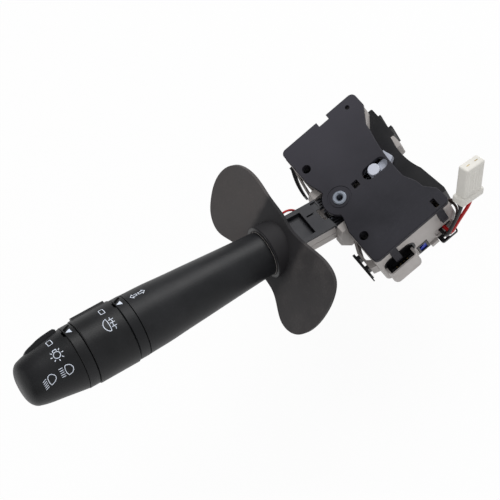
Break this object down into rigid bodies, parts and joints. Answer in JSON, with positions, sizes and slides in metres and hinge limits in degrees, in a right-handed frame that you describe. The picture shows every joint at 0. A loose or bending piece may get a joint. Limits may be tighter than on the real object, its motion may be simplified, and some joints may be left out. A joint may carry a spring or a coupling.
{
  "type": "combination stalk switch",
  "caption": "Steering-column stalk switch: boxy housing with a hollowed column side, rising lever with two rotary light collars, rubber shield and a short wired plug.",
  "frame": {"origin": "middle of the two column screw holes, on the bottom face that meets the steering column", "axes": "+Z out of the housing's cover, +X towards the steering column, the lever reaches out along -X and rises towards +Z, +Y towards the upper screw"},
  "size_m": [0.2106, 0.0851, 0.0912],
  "materials": {
    "cover_black": "dark grey moulded plastic, fine matt grain",
    "body_pale": "pale grey-beige moulded plastic, slightly satin",
    "insert_black": "black moulded plastic",
    "stalk_black": "soft black plastic with a fine grain",
    "knob_black": "soft black plastic with a fine grain",
    "core_grey": "grey plastic",
    "cap_dark": "dark grey plastic",
    "shield_rubber": "soft dark rubber with a dull bloom",
    "slider_white": "white acetal plastic",
    "key_blue": "blue plastic",
    "steel": "zinc-plated steel",
    "contact_brass": "brass strip",
    "board_brown": "phenolic board",
    "wire_black": "black wire insulation",
    "wire_red": "red wire insulation",
    "harness_dark": "dark brown wire insulation",
    "plug_white": "off-white translucent nylon"
  },
  "bodies": {
    "housing": {"top_cover": "cover_black", "housing_body": "body_pale", "bottom_cover": "body_pale", "wire_guide": "insert_black", "end_shell": "body_pale", "end_insert": "insert_black", "end_contacts": "contact_brass", "colour_key": "key_blue", "key_frame": "insert_black", "terminal_carrier": "insert_black", "main_connector": "insert_black", "main_contacts": "contact_brass", "connector_lock": "body_pale", "lower_rail": "insert_black", "upper_rail": "insert_black", "pivot_rivet": "steel", "contact_board": "board_brown", "detent_ramp": "slider_white", "cancel_spring": "steel", "wire_gland": "insert_black", "pigtail_wire_black": "wire_black", "pigtail_wire_red": "wire_red", "pigtail_connector": "plug_white", "pigtail_terminals": "contact_brass", "harness_wires": "harness_dark"},
    "turn_cradle": {"cradle": "body_pale", "cross_pin": "steel", "turn_spring": "steel", "moving_contacts": "contact_brass", "flash_spring": "steel"},
    "plunger": {"turn_plunger": "slider_white"},
    "lever": {"arm_base": "body_pale", "arm_cap": "cap_dark", "arm_wire": "wire_red", "stalk_tube": "stalk_black", "core_tube": "core_grey", "marker_ring_inner": "stalk_black", "marker_ring_outer": "knob_black", "shield": "shield_rubber"},
    "fog_collar": {"fog_ring": "knob_black"},
    "light_switch": {"light_knob": "knob_black", "light_shaft": "core_grey"},
    "cancel": {"cancel_slider": "slider_white"}
  },
  "joints": [
    {"name": "lever_turn", "type": "hinge", "parent": "housing", "child": "turn_cradle", "pos_m": [0.0028, 0, 0.013], "axis": [0, 0, 1], "range_deg": [-11.5, 11.5]},
    {"name": "lever_flash", "type": "hinge", "parent": "turn_cradle", "child": "lever", "pos_m": [-0.0052, 0, 0.01806], "axis": [0, 1, 0], "range_deg": [0, 6.5], "stiffness_Nm_per_rad": 1.2, "springref_deg": -2.86, "deforming": ["flash_spring"]},
    {"name": "fog_turn", "type": "hinge", "parent": "lever", "child": "fog_collar", "pos_m": [-0.11176, 0, 0.06685], "axis": [-0.9092, 0, 0.4163], "range_deg": [0, 31]},
    {"name": "light_turn", "type": "hinge", "parent": "lever", "child": "light_switch", "pos_m": [-0.13359, 0, 0.07684], "axis": [-0.9092, 0, 0.4163], "range_deg": [0, 65.5]},
    {"name": "detent_slide", "type": "slide", "parent": "turn_cradle", "child": "plunger", "axis": [1, 0, 0], "range_m": [-0.001, 0], "stiffness_N_per_m": 600, "springref_m": 0.0005, "deforming": ["turn_spring"]},
    {"name": "cancel_slide", "type": "slide", "parent": "housing", "child": "cancel", "axis": [1, 0, 0], "range_m": [-0.0022, 0.003], "stiffness_N_per_m": 300, "deforming": ["cancel_spring"]}
  ]
}
